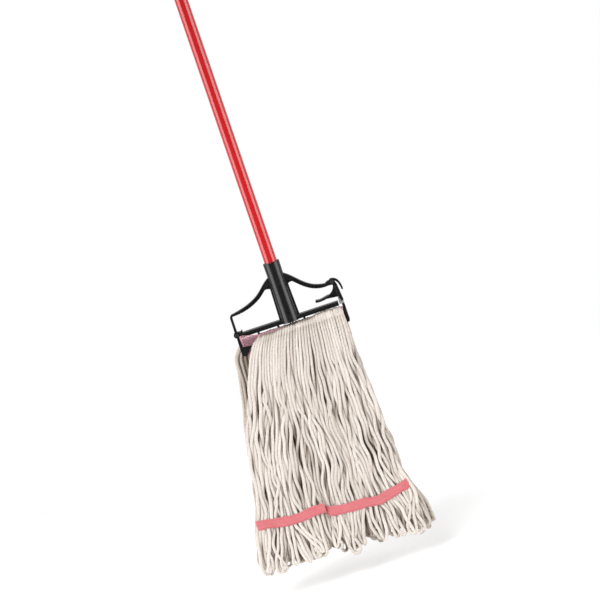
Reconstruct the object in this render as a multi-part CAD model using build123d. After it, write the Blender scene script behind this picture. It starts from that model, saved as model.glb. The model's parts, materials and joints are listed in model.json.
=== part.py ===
from build123d import *
import os

# A looped string mop: a steel handle, a moulded quick-change frame and a two-sided cotton mop head.
# Millimetres, +Z up, the mop hangs upright with its front facing -Y.
# The origin is the centre of the hanging hole at the handle's top end.
# Below, "foot" heights are counted from the foot of the handle socket, up positive.

# ---------------------------------------------------------------- handle
TUBE_LENGTH = 1500.0
TUBE_R = 12.7
TUBE_WALL = 0.9
CAP_HOLE_R = 4.5
CAP_EYE_R = 10.5
CAP_EYE_DEPTH = 9.0
CAP_COLLAR_R = 12.5
CAP_COLLAR_HEIGHT = 6.0
TUBE_TOP = -14.0
CAP_PLUG_LENGTH = 28.0
PLUG_LENGTH = 60.0
FIT_GAP = 0.05

# ---------------------------------------------------------------- socket and crossbar
SOCKET_TOP = 114.0
SOCKET_FLOOR = 19.0
SOCKET_R_TOP = 16.5
SOCKET_R_WAIST = 16.0
SOCKET_R_FOOT = 17.5
BAR_TOP = -0.7
BAR_BOTTOM = -10.0
BAR_LEFT = -99.0
BAR_RIGHT = 99.5
BAR_DEPTH = 16.0
BAR_FLANGE = 4.6
BAR_WEB = 9.0
PEG_X = (-67.5, -27.0, 27.0, 67.5)
PEG_R = 2.3
PEG_BOTTOM = -14.0
FOOT_Z = TUBE_TOP - TUBE_LENGTH - SOCKET_FLOOR

# ---------------------------------------------------------------- arms
ARM_DEPTH = 10.0
ARM_LEFT = [(-12, 83), (-28, 71.5), (-43.5, 57.8), (-60, 48.3), (-80, 41.4), (-101, 37.7)]
ARM_RIGHT = [(12, 83), (28, 70.5), (43.5, 55.4), (60, 43.6), (78, 37.6), (95, 37)]
ARM_WIDTHS = [8.8, 8.6, 8.2, 8.0, 7.4, 5.0]
ARM_EDGE_R = 0.8
CORNER_R = 5.0
LEG_WIDTH = 4.6
GROOVE_WIDTH = 3.6
GROOVE_DEPTH = 3.0
CELL_LENGTH = 5.6
CELL_PITCH = 7.6
CELLS_START = 0.27
CELLS_SHARE = 0.62
FIN_DEPTH = 3.0

# ---------------------------------------------------------------- hinge and latch
HINGE = (-109.5, -2.5)
LATCH = (100.5, 39.5)
PIN_R = 2.0
PIN_BORE_R = 2.05
KNUCKLE_BORE_R = 2.07
PIN_HEAD_R = 3.4
PIN_HEAD = 1.4
RING_R = 3.8
RING_THICKNESS = 1.0
EAR_R = 6.0
EAR_INNER = 3.8
EAR_OUTER = 6.6
KNUCKLE_R = 5.4
KNUCKLE_HALF = 3.5

# ---------------------------------------------------------------- handle screw
SCREW_R = 2.1
SCREW_HEAD_R = 4.2
SCREW_HEAD = 2.6
SCREW_LENGTH = 16.0
SCREW_FOOT = SOCKET_FLOOR + PLUG_LENGTH / 2 + 1

# ---------------------------------------------------------------- latch spring and lever
SPRING_WIRE_R = 0.45
SPRING_TURNS = 2
SPRING_R = 3.2
SPRING_Y = 2.0
LEVER_HALF = 6.0
TRIGGER_HALF = 7.5
LEVER_EDGE_R = 0.7
LEDGE_TOP = 1.2
TRIGGER_LINE = [(87, 13.6), (76, 12.0), (67, 10.8), (60, 11.6)]
TRIGGER_WIDTHS = [5.0, 4.8, 4.4, 4.6]
LEVER_TAIL_LINE = [(103, 43.2), (109.5, 39.5), (114, 31), (115.6, 20)]
LEVER_TAIL_WIDTHS = [5.0, 4.6, 4.0, 3.4]

# ---------------------------------------------------------------- gate
GATE_TOP = -16.4
GATE_BOTTOM = -26.4
GATE_HALF_DEPTH = 6.0
GATE_LEFT = -111.5
GATE_RIGHT = 110.5
END_THICKNESS = 5.0
END_HALF_DEPTH = 11.2
CHEEK_THICKNESS = 2.4
CHEEK_TOP = -26.8
CHEEK_REACH = 17.5
CHEEK_BOTTOM = -44.0
CATCH_TOP = -7.6
CATCH_LIP = 2.8

# ---------------------------------------------------------------- mop head
BAND_THICKNESS = 1.2
BAND_DROP = 56.0
BAND_FOLD_R = 3.2
BAND_LEFT = -105.6
BAND_RIGHT = 104.8
BUNDLES = 6
BUNDLE_GAP = 0.5
# Heights, and how far from the middle plane each yarn sheet reaches there.
SHEET_LEVELS = [-18, -27, -50, -76, -106, -205, -307, -360, -417, -452, -490]
SHEET_INNER = [7.7, 11.7, 11.7, 8.0, 0.3, 0.3, 0.3, 0.3, 0.3, 0.3, 0.3]
SHEET_OUTER = [14, 21, 26, 27, 27, 28, 27, 23, 23, 28, 26]
# Edges of the sheets as (height, x), from the band down to the loops.
FRONT_LEFT = [
    (-18, -74),
    (-29, -87),
    (-50, -99),
    (-92, -117),
    (-143, -137),
    (-205, -156),
    (-281, -171),
    (-380, -195),
    (-418, -209),
    (-490, -213),
]
BACK_LEFT = [
    (-18, -104),
    (-27, -106),
    (-50, -124),
    (-139, -146),
    (-281, -172),
    (-380, -196),
    (-420, -211),
    (-490, -215),
]
RIGHT_EDGE = [
    (-18, 103),
    (-50, 105),
    (-95, 103),
    (-143, 101),
    (-222, 108),
    (-291, 113),
    (-352, 113),
    (-387, 118),
    (-419, 131),
    (-490, 135),
]
TAIL_WIDTH = 20.0
TAIL_THICKNESS = 1.4
TAIL_PATH = [(-193, -375), (-113, -385), (-59, -381), (-46, -392), (47, -401), (117, -386)]
TAIL_LEVEL = -360


def slab(outline, y_low, y_high):
    """A closed outline in the XZ plane, made solid from y_low to y_high."""
    face = Plane.XZ * make_face(outline)
    return Pos(0, y_low, 0) * extrude(face, amount=y_high - y_low, dir=(0, 1, 0))


def straight(points, y_low, y_high):
    """A straight-sided outline, given by its corners, made solid in y."""
    return slab(Polyline(*points, close=True), y_low, y_high)


def disc(centre, radius, y_low, y_high):
    """A round disc across the frame, with its axis along Y."""
    x, z = centre
    middle = (y_low + y_high) / 2
    return Pos(x, middle, z) * Rot(90, 0, 0) * Cylinder(radius, y_high - y_low)


def block(x_low, x_high, y_low, y_high, z_low, z_high):
    """A box given by its faces."""
    centre = Pos((x_low + x_high) / 2, (y_low + y_high) / 2, (z_low + z_high) / 2)
    return centre * Box(x_high - x_low, y_high - y_low, z_high - z_low)


def strip_sides(points, widths):
    """The two smooth sides of a strip that follows points and is as wide as widths say."""
    upper = []
    lower = []
    last = len(points) - 1
    for i, point in enumerate(points):
        here = Vector(*point)
        ahead = Vector(*points[min(i + 1, last)]) - Vector(*points[max(i - 1, 0)])
        across = Vector(-ahead.Y, ahead.X).normalized() * (widths[i] / 2)
        upper.append(here + across)
        lower.append(here - across)
    return Spline(*upper), Spline(*reversed(lower))


def soften(solid, radius, kind=GeomType.BSPLINE):
    """Round a slab's front and back edges of one kind: its curved ones, or its straight ones."""
    faces = solid.faces().filter_by(Axis.Y)
    return fillet(faces.edges().filter_by(kind), radius)


def strip(points, widths, y_low, y_high):
    """A curved strip with smooth sides and round ends, made solid in y."""
    upper, lower = strip_sides(points, widths)
    tip = ThreePointArc(upper @ 1, (upper % 1) * (widths[-1] / 2) + Vector(*points[-1]), lower @ 0)
    tail = Line(lower @ 1, upper @ 0)
    return slab([upper, tip, lower, tail], y_low, y_high)


def at(levels, height):
    """The value at a height, between the (height, value) pairs of levels, which run downwards."""
    for (high, a), (low, b) in zip(levels, levels[1:]):
        if height >= low:
            return a + (b - a) * (high - height) / (high - low)
    return levels[-1][1]


# ================================================================ handle
def handle_tube():
    """Steel tube, open at both ends."""
    outer = Cylinder(TUBE_R, TUBE_LENGTH)
    return Pos(0, 0, TUBE_TOP - TUBE_LENGTH / 2) * (outer - Cylinder(TUBE_R - TUBE_WALL, TUBE_LENGTH))


def hanger_cap():
    """End cap: a plug in the tube, a collar and a flat eye with the hanging hole."""
    plug_r = TUBE_R - TUBE_WALL - FIT_GAP
    plug = Pos(0, 0, TUBE_TOP - CAP_PLUG_LENGTH / 2) * Cylinder(plug_r, CAP_PLUG_LENGTH)
    core = Pos(0, 0, TUBE_TOP - CAP_PLUG_LENGTH / 2 - 2) * Cylinder(plug_r - 2.2, CAP_PLUG_LENGTH - 4)
    collar = Pos(0, 0, TUBE_TOP + CAP_COLLAR_HEIGHT / 2) * Cylinder(CAP_COLLAR_R, CAP_COLLAR_HEIGHT)
    collar = fillet(collar.edges().sort_by(Axis.Z)[-1], 2.0)
    half = CAP_EYE_DEPTH / 2
    neck = block(-CAP_EYE_R, CAP_EYE_R, -half, half, TUBE_TOP + 2, 0)
    eye = disc((0, 0), CAP_EYE_R, -half, half) + neck
    eye = fillet(eye.faces().sort_by(Axis.Y)[0].edges().group_by(Axis.Z)[-1], 1.4)
    eye = fillet(eye.faces().sort_by(Axis.Y)[-1].edges().group_by(Axis.Z)[-1], 1.4)
    solid = plug - core + collar + eye
    return solid - disc((0, 0), CAP_HOLE_R, -half - 1, half + 1)


def handle_plug():
    """Ribbed plastic plug that fills the tube where the screw goes in."""
    plug = Cylinder(TUBE_R - TUBE_WALL - FIT_GAP, PLUG_LENGTH)
    ring = Cylinder(TUBE_R, 5) - Cylinder(TUBE_R - TUBE_WALL - 2, 5)
    for i in range(4):
        groove_z = (i - 1.5) * PLUG_LENGTH / 4
        if abs(groove_z) > 10:
            plug -= Pos(0, 0, groove_z) * ring
    plug -= Pos(0, TUBE_R - TUBE_WALL - 8, 0) * Rot(90, 0, 0) * Cylinder(SCREW_R, 22)
    return Pos(0, 0, FOOT_Z + SOCKET_FLOOR + PLUG_LENGTH / 2 + 1) * plug


def screw_shape(extra):
    """The screw at the back of the socket, made larger all round by extra."""
    seat = SOCKET_R_WAIST + 0.4
    shank = Pos(0, seat - SCREW_LENGTH / 2, SCREW_FOOT) * Rot(90, 0, 0)
    head = Pos(0, seat + SCREW_HEAD / 2, SCREW_FOOT) * Rot(90, 0, 0)
    return shank * Cylinder(SCREW_R + extra, SCREW_LENGTH) + head * Cylinder(SCREW_HEAD_R + extra, SCREW_HEAD)


def handle_screw():
    """Self-tapping pan-head screw with a cross recess."""
    screw = screw_shape(-0.02)
    back = SOCKET_R_WAIST + 0.4 + SCREW_HEAD
    screw = fillet(screw.edges().sort_by(Axis.Y)[-1], 1.2)
    for width, height in ((4.6, 1.1), (1.1, 4.6)):
        screw -= Pos(0, back, SCREW_FOOT) * Box(width, 2.6, height)
    return Pos(0, 0, FOOT_Z) * screw


def screw_hole():
    """The hole that the screw makes through socket and tube."""
    return Pos(0, 0, FOOT_Z) * screw_shape(0.0)


# ================================================================ yoke frame
def socket():
    """Tapered handle socket with a flat seat for the screw at the back."""
    outline = Polyline(
        (0, BAR_BOTTOM),
        (SOCKET_R_FOOT, BAR_BOTTOM),
        (SOCKET_R_FOOT, 2),
        (SOCKET_R_WAIST, 70),
        (SOCKET_R_TOP, SOCKET_TOP),
        (0, SOCKET_TOP),
        close=True,
    )
    body = revolve(Plane.XZ * make_face(outline), Axis.Z)
    rim = body.edges().filter_by(GeomType.CIRCLE).sort_by(Axis.Z)[-1]
    body = fillet(rim, 1.0)
    seat = Pos(0, SOCKET_R_WAIST - 1, SCREW_FOOT) * Rot(90, 0, 0) * Cylinder(5.6, 2.8)
    return body + seat


def socket_bore():
    """The blind bore that the handle stands in, cut past the socket's rim."""
    depth = SOCKET_TOP - SOCKET_FLOOR + 2
    return Pos(0, 0, SOCKET_FLOOR + depth / 2) * Cylinder(TUBE_R + FIT_GAP, depth)


def crossbar():
    """T-section bar: a wide top flange over a recessed web, with four pegs that grip the mop head."""
    half = BAR_DEPTH / 2
    flange = block(BAR_LEFT, BAR_RIGHT, -half, half, BAR_TOP - BAR_FLANGE, BAR_TOP)
    flange = fillet(flange.edges().filter_by(Axis.X).group_by(Axis.Z)[-1], 1.2)
    web = block(BAR_LEFT, BAR_RIGHT, -BAR_WEB / 2, BAR_WEB / 2, BAR_BOTTOM, BAR_TOP - BAR_FLANGE)
    bar = flange + web
    length = BAR_TOP - PEG_BOTTOM - BAR_FLANGE
    for x in PEG_X:
        peg = Pos(x, 0, PEG_BOTTOM + length / 2) * Cylinder(PEG_R, length)
        bar += fillet(peg.edges().sort_by(Axis.Z)[0], 1.0)
        bar += block(x - 1.2, x + 1.2, -half + 0.6, half - 0.6, BAR_BOTTOM, BAR_TOP - 1)
    return bar


def arm(points):
    """One concave arm, with a row of cells sunk into its front and back."""
    half = ARM_DEPTH / 2
    shape = soften(strip(points, ARM_WIDTHS, -half, half), ARM_EDGE_R)
    line = Spline(*points)
    count = int(line.length * CELLS_SHARE / CELL_PITCH)
    start = line.length * CELLS_START
    for i in range(count):
        share = (start + i * CELL_PITCH) / line.length
        here = line @ share
        turn = line.tangent_angle_at(share)
        cell = Box(CELL_LENGTH, GROOVE_DEPTH * 2, GROOVE_WIDTH)
        for side in (-half, half):
            shape -= Pos(here.X, side, here.Y) * Rot(0, -turn, 0) * cell
    return shape


def gusset(side):
    """The fillet of an arm into the socket; side is -1 for the left arm and 1 for the right."""
    top = 81.0
    bottom = 60.0
    wall = SOCKET_R_WAIST - 2
    upper = Line((side * wall, top + 2), (side * 30, 69))
    edge = Line(upper @ 1, (side * 34, 61))
    lower = Spline(edge @ 1, (side * 27.5, 65.2), (side * 21, 64.6), (side * wall, bottom - 2))
    outline = [upper, edge, lower, Line(lower @ 1, upper @ 0)]
    rim = slab(outline, -ARM_DEPTH / 2, ARM_DEPTH / 2)
    pocket = straight([(side * 18.8, 75), (side * 25.8, 69.5), (side * 18.8, 67.5)], -9, -2.2)
    return rim - pocket - Pos(0, 11.2, 0) * pocket


def fin(side):
    """The thin stiffening fin down one side of the socket."""
    corners = [(side * 14, 64), (side * 18.6, 64), (side * 20.6, -2), (side * 14, -2)]
    return straight(corners, -FIN_DEPTH / 2, FIN_DEPTH / 2)


def left_leg():
    """The thin leg from the left arm's corner down to the hinge ears."""
    half = ARM_DEPTH / 2
    path = FilletPolyline((-95, 38.3), (HINGE[0] + 0.4, 36.9), (HINGE[0], 4.6), radius=CORNER_R)
    leg = Plane.XZ * trace(path, line_width=LEG_WIDTH)
    return Pos(0, -half, 0) * extrude(leg, amount=ARM_DEPTH, dir=(0, 1, 0))


def hinge_ears():
    """Two ears round the hinge pin, tied to the leg above and to the crossbar's end."""
    x, z = HINGE
    ears = None
    for low, high in ((-EAR_OUTER, -EAR_INNER), (EAR_INNER, EAR_OUTER)):
        ear = disc(HINGE, EAR_R, low, high)
        tie = [(x, z + EAR_R), (x, z - EAR_R), (BAR_LEFT + 1, BAR_BOTTOM), (BAR_LEFT + 1, 1)]
        ear += straight(tie, low, high)
        ear += block(x - LEG_WIDTH / 2, x + LEG_WIDTH / 2, low, high, z, z + 12)
        ears = ear if ears is None else ears + ear
    bridge = block(x - LEG_WIDTH / 2, x + LEG_WIDTH / 2, -EAR_OUTER, EAR_OUTER, z + EAR_R + 0.6, z + 12)
    cheek = block(BAR_LEFT - 0.6, BAR_LEFT + 2.4, -BAR_DEPTH / 2, BAR_DEPTH / 2, BAR_BOTTOM - 1.5, 3.6)
    return ears + bridge + cheek - disc(HINGE, PIN_BORE_R, -20, 20)


def latch_ears():
    """Two ears at the right arm's end that carry the latch pin."""
    x, z = LATCH
    ears = None
    for low, high in ((-EAR_OUTER, -EAR_INNER), (EAR_INNER, EAR_OUTER)):
        ear = disc(LATCH, EAR_R, low, high)
        ear += straight([(x, z + EAR_R - 1), (x, z - EAR_R), (x - 12, z - 4.6), (x - 12, z + 1.6)], low, high)
        ears = ear if ears is None else ears + ear
    root = straight(
        [(x - 7.2, z + 4), (x - 7.2, z - 5), (x - 13, z - 4.2), (x - 13, z + 1.4)],
        -EAR_OUTER,
        EAR_OUTER,
    )
    return ears + root - disc(LATCH, PIN_BORE_R, -20, 20)


def yoke_frame():
    """The moulded frame that the handle stands in."""
    solid = socket() + crossbar()
    for side, points in ((-1, ARM_LEFT), (1, ARM_RIGHT)):
        solid += arm(points)
        solid += gusset(side)
        solid += fin(side)
    solid += left_leg() + hinge_ears()
    solid -= disc(LATCH, EAR_R + 0.9, -EAR_INNER, EAR_INNER)
    solid += latch_ears()
    solid -= disc(LATCH, KNUCKLE_R + 0.7, -EAR_INNER, EAR_INNER)
    solid -= disc(LATCH, PIN_BORE_R, -20, 20)
    solid -= disc(HINGE, PIN_BORE_R, -20, 20)
    solid = Pos(0, 0, FOOT_Z) * (solid - socket_bore())
    return solid - screw_hole()


# ================================================================ pins and spring
def pin(centre):
    """Headed pin with its head at the front and its end standing out behind."""
    shaft = disc(centre, PIN_R, -EAR_OUTER, EAR_OUTER + RING_THICKNESS + 1.0)
    head = disc(centre, PIN_HEAD_R, -EAR_OUTER - PIN_HEAD, -EAR_OUTER)
    head = fillet(head.edges().sort_by(Axis.Y)[0], 0.9)
    return Pos(0, 0, FOOT_Z) * (shaft + head)


def ring(centre):
    """Push-on ring behind the frame that keeps a pin in."""
    solid = disc(centre, RING_R, EAR_OUTER + 0.05, EAR_OUTER + 0.05 + RING_THICKNESS)
    solid -= disc(centre, PIN_R + 0.02, 0, 20)
    return Pos(0, 0, FOOT_Z) * solid


def latch_spring():
    """Torsion spring round the latch pin: close turns, one leg on the yoke and one on the lever."""
    x, z = LATCH
    solid = None
    for i in range(SPRING_TURNS):
        turn = Pos(x, SPRING_Y + i * SPRING_WIRE_R * 1.9, z) * Rot(90, 0, 0) * Torus(SPRING_R, SPRING_WIRE_R)
        solid = turn if solid is None else solid + turn
    back = SPRING_Y + (SPRING_TURNS - 1) * SPRING_WIRE_R * 1.9
    solid += Pos(x - 2.6, back, z + SPRING_R) * Rot(0, 90, 0) * Cylinder(SPRING_WIRE_R, 5.2)
    solid += Pos(x + SPRING_R, SPRING_Y, z - 1.8) * Cylinder(SPRING_WIRE_R, 3.6)
    return Pos(0, 0, FOOT_Z) * solid


# ================================================================ latch lever
def lever_leg():
    """The leg that hooks the gate's catch: a channel open towards the middle of the mop."""
    outline = [(103.2, 31.5), (108.4, 31.5), (111.4, -1.4), (105.6, -1.4), (103.8, 9)]
    leg = soften(straight(outline, -LEVER_HALF, LEVER_HALF), LEVER_EDGE_R, GeomType.LINE)
    hollow = straight([(101, 26), (106.0, 26), (108.8, LEDGE_TOP), (101, LEDGE_TOP)], -3.6, 3.6)
    groove = straight([(105.2, 28), (106.4, 28), (108.6, 2), (107.2, 2)], -9, -LEVER_HALF + 1.0)
    return leg - hollow - groove


def lever_gusset():
    """The curved gusset between leg and trigger, thin in the middle with a raised rim."""
    inner = Spline((99.8, 31.5), (97.5, 25), (91.5, 18.5), (80, 14.4))
    end = Line(inner @ 1, (79, 10.2))
    foot = Line(end @ 1, (104.2, 7.4))
    outline = [inner, end, foot, Line(foot @ 1, (104.2, 31.5)), Line((104.2, 31.5), inner @ 0)]
    plate = soften(slab(outline, -4.6, 4.6), LEVER_EDGE_R)
    pocket_side = Spline((101.2, 29), (99.8, 23.6), (94, 16.8), (85, 12.6))
    pocket_line = [pocket_side, Line(pocket_side @ 1, (102.4, 10.2)), Line((102.4, 10.2), pocket_side @ 0)]
    pocket = slab(pocket_line, -9, -1.4)
    return plate - pocket - Pos(0, 10.4, 0) * pocket


def latch_lever():
    """Knob, tail, leg, gusset and trigger in one moulding that turns on the latch pin."""
    knuckle = disc(LATCH, KNUCKLE_R, -KNUCKLE_HALF, KNUCKLE_HALF)
    neck = straight([(99.8, 36), (106.2, 38), (108.4, 31), (99.8, 31)], -KNUCKLE_HALF, KNUCKLE_HALF)
    tail = soften(strip(LEVER_TAIL_LINE, LEVER_TAIL_WIDTHS, -KNUCKLE_HALF, KNUCKLE_HALF), LEVER_EDGE_R)
    trigger = soften(strip(TRIGGER_LINE, TRIGGER_WIDTHS, -TRIGGER_HALF, TRIGGER_HALF), LEVER_EDGE_R)
    solid = knuckle + neck + tail + trigger + lever_gusset() + lever_leg()
    solid -= disc(LATCH, EAR_R + 0.7, -20, -KNUCKLE_HALF)
    solid -= disc(LATCH, EAR_R + 0.7, KNUCKLE_HALF, 20)
    solid -= disc(LATCH, SPRING_R + 0.9, SPRING_Y - 0.7, 20)
    x, z = LATCH
    slot_x = x + SPRING_R
    solid -= block(slot_x - 0.8, slot_x + 0.8, SPRING_Y - 0.7, 20, z - 5.0, z)
    solid -= block(x - 7, x, SPRING_Y - 0.7, 20, z + 1.2, z + 7)
    return Pos(0, 0, FOOT_Z) * (solid - disc(LATCH, KNUCKLE_BORE_R, -20, 20))


# ================================================================ gate
def gate_end(side):
    """One end leg of the gate with the two cheeks that keep the mop head on the bar."""
    outer = GATE_LEFT if side < 0 else GATE_RIGHT
    inner = outer - side * END_THICKNESS
    reach = inner - side * CHEEK_REACH
    top = HINGE[1] - 7.5 if side < 0 else CATCH_TOP
    low_x, high_x = sorted((outer, inner))
    leg = block(low_x, high_x, -END_HALF_DEPTH, END_HALF_DEPTH, CHEEK_BOTTOM + 8, GATE_TOP)
    leg += block(low_x, high_x, -KNUCKLE_HALF * 1.6, KNUCKLE_HALF * 1.6, GATE_TOP, top)
    cheek_line = [
        (outer, CHEEK_TOP),
        (reach, CHEEK_TOP - 3),
        (inner - side * 3, CHEEK_BOTTOM - 3),
        (outer, CHEEK_BOTTOM),
    ]
    for face in (-1, 1):
        low_y, high_y = sorted((face * END_HALF_DEPTH, face * (END_HALF_DEPTH - CHEEK_THICKNESS)))
        leg += straight(cheek_line, low_y, high_y)
    return leg


def gate_bar():
    """The lower bar that the headband lies over, with its end legs and the hinge knuckle."""
    half = GATE_HALF_DEPTH
    bar = block(GATE_LEFT + 1, GATE_RIGHT - 1, -half, half, GATE_BOTTOM, GATE_TOP)
    bar = fillet(bar.edges().filter_by(Axis.X).group_by(Axis.Z)[-1], 3.0)
    solid = bar + gate_end(-1) + gate_end(1)
    x, z = HINGE
    solid += disc(HINGE, KNUCKLE_R, -KNUCKLE_HALF, KNUCKLE_HALF)
    solid += block(GATE_LEFT, GATE_LEFT + END_THICKNESS, -KNUCKLE_HALF, KNUCKLE_HALF, -12, z)
    return Pos(0, 0, FOOT_Z) * (solid - disc(HINGE, KNUCKLE_BORE_R, -20, 20))


def gate_catch():
    """Sprung catch on the gate's right end: a block, and a tongue with a lip over the lever's ledge."""
    base = block(101.4, 110.6, -5.4, 5.4, CATCH_TOP, -2.4)
    base = fillet(base.edges().filter_by(Axis.Y).group_by(Axis.Z)[-1], 1.2)
    tongue = block(101.8, 104.4, -2.6, 2.6, -2.8, 6.0)
    lip = straight([(104.2, 1.8), (104.2 + CATCH_LIP, 1.8), (104.2, 6.0)], -2.6, 2.6)
    return Pos(0, 0, FOOT_Z) * (base + tongue + lip)


# ================================================================ mop head
def headband():
    """Mesh band folded over the gate bar."""
    inner = GATE_HALF_DEPTH + 0.2
    outer = inner + BAND_THICKNESS
    top = GATE_TOP + 0.2
    fold = block(BAND_LEFT, BAND_RIGHT, -outer, outer, GATE_TOP - BAND_DROP, top + BAND_THICKNESS)
    fold = fillet(fold.edges().filter_by(Axis.X).group_by(Axis.Z)[-1], BAND_FOLD_R + BAND_THICKNESS)
    space = block(BAND_LEFT - 1, BAND_RIGHT + 1, -inner, inner, GATE_TOP - BAND_DROP - 1, top)
    space = fillet(space.edges().filter_by(Axis.X).group_by(Axis.Z)[-1], BAND_FOLD_R)
    return Pos(0, 0, FOOT_Z) * (fold - space)


def yarn_bundle(left_edge, side, number):
    """One bundle of a yarn sheet; side is -1 for the front sheet and 1 for the back one."""
    sections = []
    for level, inner, outer in zip(SHEET_LEVELS, SHEET_INNER, SHEET_OUTER):
        left = at(left_edge, level)
        width = (at(RIGHT_EDGE, level) - left) / BUNDLES
        centre = Pos(left + (number + 0.5) * width, side * (inner + outer) / 2, level)
        sections.append(centre * Rectangle(width - BUNDLE_GAP, outer - inner))
    return Pos(0, 0, FOOT_Z) * loft(sections, ruled=True)


def tail_band(side):
    """Tape stitched across a sheet just above its loops."""
    half = TAIL_WIDTH / 2
    upper = [(x, z + half) for x, z in TAIL_PATH]
    lower = [(x, z - half) for x, z in reversed(TAIL_PATH)]
    near = SHEET_OUTER[SHEET_LEVELS.index(TAIL_LEVEL)] + 0.1
    low_y, high_y = sorted((side * near, side * (near + TAIL_THICKNESS)))
    return Pos(0, 0, FOOT_Z) * straight(upper + lower, low_y, high_y)


def sub_parts():
    """Every node by name."""
    parts = {
        "handle_tube": handle_tube() - screw_hole(),
        "hanger_cap": hanger_cap(),
        "handle_plug": handle_plug(),
        "handle_screw": handle_screw(),
        "yoke_frame": yoke_frame(),
        "hinge_pin": pin(HINGE),
        "hinge_pin_ring": ring(HINGE),
        "latch_pin": pin(LATCH),
        "latch_pin_ring": ring(LATCH),
        "latch_spring": latch_spring(),
        "latch_lever": latch_lever(),
        "gate_bar": gate_bar(),
        "gate_catch": gate_catch(),
        "headband": headband(),
        "tail_band_front": tail_band(-1),
        "tail_band_back": tail_band(1),
    }
    for number in range(BUNDLES):
        parts[f"yarn_front_{number + 1}"] = yarn_bundle(FRONT_LEFT, -1, number)
        parts[f"yarn_back_{number + 1}"] = yarn_bundle(BACK_LEFT, 1, number)
    return parts


os.makedirs("parts", exist_ok=True)
for name, shape in sub_parts().items():
    export_step(shape, f"parts/{name}.step")
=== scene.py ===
import json
import math

import bpy
import numpy as np
from mathutils import Matrix, Vector


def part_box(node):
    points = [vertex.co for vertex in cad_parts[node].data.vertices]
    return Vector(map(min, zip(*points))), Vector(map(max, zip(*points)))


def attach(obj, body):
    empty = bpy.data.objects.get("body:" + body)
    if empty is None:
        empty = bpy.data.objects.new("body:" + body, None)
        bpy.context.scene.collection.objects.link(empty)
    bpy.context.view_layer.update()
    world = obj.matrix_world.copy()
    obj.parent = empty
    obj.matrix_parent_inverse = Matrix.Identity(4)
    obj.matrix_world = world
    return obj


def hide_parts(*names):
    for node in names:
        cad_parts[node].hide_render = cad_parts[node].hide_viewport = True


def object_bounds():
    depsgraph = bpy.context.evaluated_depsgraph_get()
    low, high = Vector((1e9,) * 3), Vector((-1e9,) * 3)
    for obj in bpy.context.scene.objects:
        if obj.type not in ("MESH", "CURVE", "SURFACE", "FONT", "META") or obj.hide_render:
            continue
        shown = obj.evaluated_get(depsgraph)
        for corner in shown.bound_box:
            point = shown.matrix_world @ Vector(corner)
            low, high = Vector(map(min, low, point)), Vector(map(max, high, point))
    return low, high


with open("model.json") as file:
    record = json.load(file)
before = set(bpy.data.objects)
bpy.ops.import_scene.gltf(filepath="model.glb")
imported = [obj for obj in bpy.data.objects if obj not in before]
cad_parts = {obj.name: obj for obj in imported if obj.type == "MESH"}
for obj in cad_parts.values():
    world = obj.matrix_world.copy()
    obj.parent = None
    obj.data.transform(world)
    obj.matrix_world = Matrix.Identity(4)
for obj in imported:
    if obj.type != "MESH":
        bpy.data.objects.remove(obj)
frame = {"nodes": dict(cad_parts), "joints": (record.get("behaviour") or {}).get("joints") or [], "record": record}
cad_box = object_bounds()

# Looks for a looped string mop. Shapes below are in millimetres, with heights counted from the socket's
# foot; place() turns them into the frame's metres.
MM = 0.001
RNG = np.random.default_rng(464)
JOINTS = {j["name"]: j for j in frame["joints"]}
HINGE_BELOW_FOOT = 2.5
FOOT = JOINTS["gate_hinge"]["pos_m"][2] + HINGE_BELOW_FOOT * MM

# Camera: the mop hangs upright, and the picture is rolled so that it leans.
VIEW_AZIMUTH = math.radians(3)
VIEW_ELEVATION = math.radians(9)
VIEW_ROLL = math.radians(18.85)
VIEW_DISTANCE = 6.0
VIEW_WIDTH = 1.174
VIEW_CENTRE = Vector((0.030, 0, FOOT + 0.024))

# Stage: a soft sun, a panel at each side, and a backdrop dim in front of the mop and brighter behind.
SUN_STRENGTH = 1.5
SUN_SPREAD = 30
SUN_FROM = Vector((-0.8, -1.8, 1.9))
PANEL_WATTS = 58
PANEL_SIZE = (2.0, 3.2)
PANEL_PLACE = (2.2, -1.1, 0.4)
FRONT_LIGHT = 0.12
BACK_LIGHT = 0.6
FRONT_ENDS = -0.3
BACK_STARTS = 0.5
FLOOR_DROP = 0.05
FLOOR_REACH = 1.6
FLOOR_GLOW = 0.34

# Yarn
YARN_R = 3.4
PLIES = 4
PLY_DEPTH = 0.24
PLY_PITCH = 34.0
RING_STEP = 3.0
RING_POINTS = 16
ACROSS = 34
LAYERS = 4
LEVEL_STEP = 6.0
BUNDLES = 6
BUNCHES = 8
BUNCH_PULL = 2.3
WANDERS = 7
WANDER_PULL = 4.2
WRAP_LEFT = 7.0
SPLAY = 7.0
FIRST_LEVEL = -24
LAST_LEVEL = -509
LOOPS_PART = -402
PUSH_ROUNDS = 70
HOLD_ROUNDS = 55
# Each strand's own waves: height and length over 2 pi
KINKS = ((1.5, 9.5), (2.6, 17.0), (3.4, 33.0))
# What changes down the sheets, as (millimetres below the socket's foot, value at each)
WRAP_SPAN = ([22, 30, 50, 100], [0, 1, 1, 0])
SPACING = ([16, 26, 60, 130], [0.4, 0.5, 0.75, 1.0])
WIDE = ([16, 26, 48, 80, 130], [0.95, 0.83, 0.87, 0.93, 1.0])
THIN = ([16, 26, 48, 80], [0.42, 0.65, 0.92, 1.0])
HOLD = ([24, 60, 130], [0.45, 0.25, 0.04])
CALM = ([24, 90, 200, 350, 393, 430], [0.1, 0.4, 0.9, 1.1, 0.4, 1.2])
BUNCHED = ([30, 80, 380, 420], [0, 1, 0.8, 0.3])
# The next two tables set how deep and how strong the yarn's painted shade between strands is.
SHADE_REACH = ([16, 60, 160], [0.34, 0.48, 1.0])
SHADE_SHARE = ([380, 440], [0.9, 0.65])
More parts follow.
